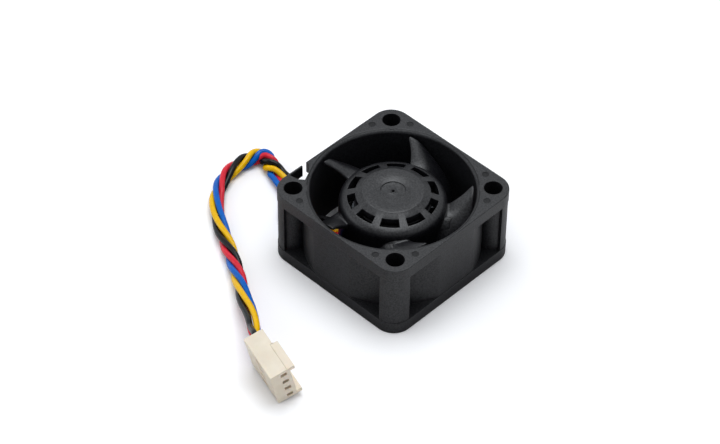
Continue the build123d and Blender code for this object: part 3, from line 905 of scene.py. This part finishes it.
# The contacts: stamped phosphor bronze with a tin flash, one crimped on each lead. Only
# their ends show in the plug's openings.
def metal(name, code, roughness):
    # Stamped and plated metal: a plain satin, brighter and duller in patches of 1 mm.
    material, shader = new_material(name)
    place = add_node(material, "ShaderNodeTexCoord")
    wear = add_node(material, "ShaderNodeTexNoise", None, {
        "Vector": place.outputs["Object"], "Scale": 900.0, "Detail": 4.0,
    })
    ramp = add_node(material, "ShaderNodeMapRange", None, {
        "Value": wear.outputs["Fac"], "To Min": roughness - 0.08, "To Max": roughness + 0.1,
    })
    connect(material, ramp.outputs["Result"], shader, "Roughness")
    shader.inputs["Base Color"].default_value = linear(code)
    shader.inputs["Metallic"].default_value = 1.0
    return material


def dress(material, *names):
    for name in names:
        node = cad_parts[name]
        node.data.materials.clear()
        node.data.materials.append(material)


contact_bronze = metal("tinned_bronze", "#C08A3C", 0.3)
contacts = ["plug_contact_1", "plug_contact_2", "plug_contact_3", "plug_contact_4"]
dress(contact_bronze, *contacts)


# The rotor's steel parts and its magnet: a drawn cup of mild steel, coloured dark grey, pressed
# into the hub, with a flexible strip of ferrite in rubber bent round inside it.
def steel(name, code, roughness, lines_mm, axis):
    # Turned, ground or drawn metal: a gloss broken by fine lines that lie close along the
    # axis given, so that they run round a turned part.
    material, shader = new_material(name)
    place = add_node(material, "ShaderNodeTexCoord")
    stretch = (1000 / lines_mm, 60.0, 60.0) if axis == "x" else (60.0, 60.0, 1000 / lines_mm)
    spread = add_node(material, "ShaderNodeMapping", None, {
        "Vector": place.outputs["Object"], "Scale": stretch,
    })
    lines = add_node(material, "ShaderNodeTexNoise", None, {
        "Vector": spread.outputs["Vector"], "Scale": 1.0, "Detail": 3.0,
    })
    gloss = add_node(material, "ShaderNodeMapRange", None, {
        "Value": lines.outputs["Fac"], "To Min": roughness - 0.08, "To Max": roughness + 0.1,
    })
    bump = add_node(material, "ShaderNodeBump", None, {
        "Height": lines.outputs["Fac"], "Strength": 0.15, "Distance": 0.00002,
    })
    connect(material, gloss.outputs["Result"], shader, "Roughness")
    connect(material, bump.outputs["Normal"], shader, "Normal")
    shader.inputs["Base Color"].default_value = linear(code)
    shader.inputs["Metallic"].default_value = 1.0
    return material


# The yoke's cup is given a dark grey.
dress(steel("dark_grey_steel", "#2C2C2E", 0.6, 0.3, "z"), "rotor_yoke")


def speckled(name, light, dark, grain_mm, roughness, relief=0.2):
    # A dull solid with a fine two-tone grain, such as ferrite, resin or laminate.
    material, shader = new_material(name)
    place = add_node(material, "ShaderNodeTexCoord")
    grain = add_node(material, "ShaderNodeTexNoise", None, {
        "Vector": place.outputs["Object"], "Scale": 1000 / grain_mm, "Detail": 3.0,
    })
    ramp = add_node(material, "ShaderNodeValToRGB", None, {"Fac": grain.outputs["Fac"]})
    ramp.color_ramp.elements[0].position = 0.35
    ramp.color_ramp.elements[0].color = linear(dark)
    ramp.color_ramp.elements[1].position = 0.65
    ramp.color_ramp.elements[1].color = linear(light)
    bump = add_node(material, "ShaderNodeBump", None, {
        "Height": grain.outputs["Fac"], "Strength": relief, "Distance": 0.00003,
    })
    connect(material, ramp.outputs["Color"], shader, "Base Color")
    connect(material, bump.outputs["Normal"], shader, "Normal")
    shader.inputs["Roughness"].default_value = roughness
    return material


dress(speckled("bonded_ferrite", "#3B3836", "#2A2827", 0.2, 0.7), "magnet_ring")


# The shaft, clip, spring and ball bearings: ground and polished steel, with a turned
# brass bush in the hub and a turned brass tube in the motor base.
dress(steel("ground_shaft_steel", "#C4C6C8", 0.2, 0.12, "z"), "shaft")
dress(steel("spring_steel", "#8C8A88", 0.35, 0.2, "x"), "shaft_clip", "preload_spring")
bearing_steel = steel("bearing_steel", "#BFC1C3", 0.16, 0.1, "z")
for level in ("lower", "upper"):
    for piece in ("outer_ring", "inner_ring", "balls"):
        dress(bearing_steel, level + "_bearing_" + piece)
    dress(steel("pressed_cage_steel", "#A3A09A", 0.35, 0.2, "x"), level + "_bearing_cage")
turned_brass = steel("turned_brass", "#D2AA5A", 0.27, 0.15, "z")
dress(turned_brass, "shaft_bush", "bearing_tube")


# The stator: a stack of 0.5 mm silicon-steel sheets between two black nylon insulators,
# wound with enamelled copper wire, on four tinned pins in the circuit board.

# The stack's side shows the sheets as dull grey bands with a dark seam between them.
sheet_mm = 0.5
core_steel, shader = new_material("stacked_silicon_steel")
place = add_node(core_steel, "ShaderNodeTexCoord")
height = add_node(core_steel, "ShaderNodeSeparateXYZ", None, {"Vector": place.outputs["Object"]})
sheet = add_node(core_steel, "ShaderNodeMath", {"operation": "MULTIPLY"}, {
    0: height.outputs["Z"], 1: 1000 / sheet_mm,
})
within = add_node(core_steel, "ShaderNodeMath", {"operation": "FRACT"}, {0: sheet.outputs["Value"]})
seam = add_node(core_steel, "ShaderNodeMath", {"operation": "LESS_THAN"}, {
    0: within.outputs["Value"], 1: 0.16,
})
ramp = add_node(core_steel, "ShaderNodeValToRGB", None, {"Fac": seam.outputs["Value"]})
ramp.color_ramp.elements[0].color = linear("#5C5F63")
ramp.color_ramp.elements[1].color = linear("#3E3C3A")
bump = add_node(core_steel, "ShaderNodeBump", {"invert": True}, {
    "Height": seam.outputs["Value"], "Strength": 0.5, "Distance": 0.00005,
})
connect(core_steel, ramp.outputs["Color"], shader, "Base Color")
connect(core_steel, bump.outputs["Normal"], shader, "Normal")
shader.inputs["Metallic"].default_value = 0.9
shader.inputs["Roughness"].default_value = 0.45
dress(core_steel, "stator_core")
black_nylon = speckled("black_nylon", "#2E2E30", "#222224", 0.3, 0.45)
dress(black_nylon, "upper_insulator", "lower_insulator")

# Wire 0.2 mm thick lies in close turns round each pole: fine ridges with painted shade in the
# grooves between them, under a clear amber enamel that gives the copper its gloss.
wire_mm = 0.2
copper, shader = new_material("enamelled_copper_wire")
place = add_node(copper, "ShaderNodeTexCoord")
spot = add_node(copper, "ShaderNodeSeparateXYZ", None, {"Vector": place.outputs["Object"]})
away_x = add_node(copper, "ShaderNodeMath", {"operation": "ABSOLUTE"}, {0: spot.outputs["X"]})
away_y = add_node(copper, "ShaderNodeMath", {"operation": "ABSOLUTE"}, {0: spot.outputs["Y"]})
reach = add_node(copper, "ShaderNodeMath", {"operation": "MAXIMUM"}, {
    0: away_x.outputs["Value"], 1: away_y.outputs["Value"],
})
turns = add_node(copper, "ShaderNodeMath", {"operation": "MULTIPLY"}, {
    0: reach.outputs["Value"], 1: math.tau * 1000 / wire_mm,
})
ridge = add_node(copper, "ShaderNodeMath", {"operation": "SINE"}, {0: turns.outputs["Value"]})
ramp = add_node(copper, "ShaderNodeMapRange", None, {
    "Value": ridge.outputs["Value"], "From Min": -1.0,
})
# Painted shade: the copper turns dark brown in each groove between turns.
shade = add_node(copper, "ShaderNodeValToRGB", None, {"Fac": ramp.outputs["Result"]})
shade.color_ramp.elements[0].color = linear("#6E3414")
shade.color_ramp.elements[1].color = linear("#C8753A")
bump = add_node(copper, "ShaderNodeBump", None, {
    "Height": ramp.outputs["Result"], "Strength": 0.8, "Distance": 0.00006,
})
connect(copper, shade.outputs["Color"], shader, "Base Color")
connect(copper, bump.outputs["Normal"], shader, "Normal")
shader.inputs["Metallic"].default_value = 0.85
shader.inputs["Roughness"].default_value = 0.28
shader.inputs["Coat Weight"].default_value = 0.5
dress(copper, "winding_1", "winding_2", "winding_3", "winding_4")
dress(metal("tinned_pins", "#C9CACB", 0.3), "winding_pins")


# The circuit board: glass-fibre laminate under green solder resist, with a black moulded
# driver chip, a magnetic position sensor and three ceramic capacitors soldered to it.
dress(speckled("green_solder_resist", "#1F6B45", "#1A5C3B", 0.6, 0.3, 0.1), "circuit_board")
dress(speckled("moulded_epoxy", "#2B2B2D", "#1E1E20", 0.15, 0.6), "driver_chip", "hall_sensor")
dress(speckled("ceramic_capacitor", "#B59A78", "#A48967", 0.25, 0.4), "board_capacitors")


# The floor and the light: a white paper sweep under one big soft box overhead, with two
# weak fills, in a pale room that glossy surfaces reflect.
paper_white = "#F2F1F2"
lamp_colour = (0.94, 0.97, 1)
clear_selection()
bpy.ops.mesh.primitive_plane_add(size=6, location=(0, 0, -0.00002))
floor = bpy.context.object
floor.name = "floor"


def seen_level(material, direct, mirrored):
    """How bright a white ground is to the camera, and in gloss or through glass."""
    path = add_node(material, "ShaderNodeLightPath")
    gloss = add_node(material, "ShaderNodeMath", {"operation": "MAXIMUM"}, {
        0: path.outputs["Is Glossy Ray"], 1: path.outputs["Is Transmission Ray"],
    })
    dimmed = add_node(material, "ShaderNodeMath", {"operation": "MULTIPLY"}, {
        0: gloss.outputs["Value"], 1: mirrored,
    })
    return add_node(material, "ShaderNodeMath", {"operation": "MULTIPLY_ADD"}, {
        0: path.outputs["Is Camera Ray"], 1: direct, 2: dimmed.outputs["Value"],
    })


# Matt white paper. Its glow lifts it to white for the camera, and the glow fades close to things as
# a painted shadow. Gloss mirrors it darker there too: its colour is painted grey near things, as
# under anything that stands on a table.
paper, shader = new_material("white_paper")
seen = seen_level(paper, 0.25, 0.13)
near = add_node(paper, "ShaderNodeAmbientOcclusion", {"samples": 6}, {"Distance": 0.03})
# Painted shadow: the glow is multiplied by the occlusion, so it dims close to things.
glow_with_painted_shadow = add_node(paper, "ShaderNodeMath", {"operation": "MULTIPLY"}, {
    0: seen.outputs["Value"], 1: near.outputs["AO"],
})
path = add_node(paper, "ShaderNodeLightPath")
covered = add_node(paper, "ShaderNodeMath", {"operation": "SUBTRACT"}, {
    0: 1.0, 1: near.outputs["AO"],
})
painted_shade_in_gloss = add_node(paper, "ShaderNodeMath", {"operation": "MULTIPLY"}, {
    0: path.outputs["Is Glossy Ray"], 1: covered.outputs["Value"],
})
# Painted shade: for gloss only, the paper's colour turns from white to grey close to things.
contact = add_node(paper, "ShaderNodeValToRGB", None, {"Fac": painted_shade_in_gloss.outputs["Value"]})
contact.color_ramp.elements[0].position = 0.1
contact.color_ramp.elements[0].color = linear(paper_white)
contact.color_ramp.elements[1].position = 0.5
contact.color_ramp.elements[1].color = linear("#505054")
connect(paper, contact.outputs["Color"], shader, "Base Color")
shader.inputs["Roughness"].default_value = 1.0
shader.inputs["Specular IOR Level"].default_value = 0.0
shader.inputs["Emission Color"].default_value = (1, 1, 1, 1)
connect(paper, glow_with_painted_shadow.outputs["Value"], shader, "Emission Strength")
floor.data.materials.append(paper)


def soft_box(name, place, aim, size, power):
    light_data = bpy.data.lights.new(name, "AREA")
    light_data.shape = "RECTANGLE"
    light_data.size, light_data.size_y = size
    light_data.energy = power
    light_data.color = lamp_colour
    light = bpy.data.objects.new(name, light_data)
    light.location = place
    light.rotation_euler = (Vector(aim) - Vector(place)).to_track_quat("-Z", "Y").to_euler()
    bpy.context.scene.collection.objects.link(light)


soft_box("overhead_box", (-0.06, 0.07, 0.65), (0, 0, 0), (0.45, 0.4), 3.05)
soft_box("left_fill", (-0.5, -0.45, 0.35), (0, 0, 0.01), (0.4, 0.4), 0.75)
soft_box("right_fill", (0.6, 0.1, 0.3), (0, 0, 0.01), (0.4, 0.4), 0.22)
world = bpy.data.worlds.new("studio")
bpy.context.scene.world = world
world.use_nodes = True
# The room is pale behind the fan and darker on the camera's side.
away_from_camera = (-0.68, 0.73, 0.0)
ray = add_node(world, "ShaderNodeNewGeometry")
toward_front = add_node(world, "ShaderNodeVectorMath", {"operation": "DOT_PRODUCT"}, {
    0: ray.outputs["Incoming"], 1: away_from_camera,
})
pale = add_node(world, "ShaderNodeMapRange", None, {
    "Value": toward_front.outputs["Value"], "From Min": -0.3, "From Max": 0.6, "To Min": 1.0,
    "To Max": 0.0,
})
seen = seen_level(world, 1.0, pale.outputs["Result"])
level = add_node(world, "ShaderNodeMapRange", None, {
    "Value": seen.outputs["Value"], "To Min": 0.4, "To Max": 1.0,
})
background = world.node_tree.nodes["Background"]
background.inputs["Color"].default_value = (*lamp_colour, 1)
world.node_tree.links.new(level.outputs["Result"], background.inputs["Strength"])
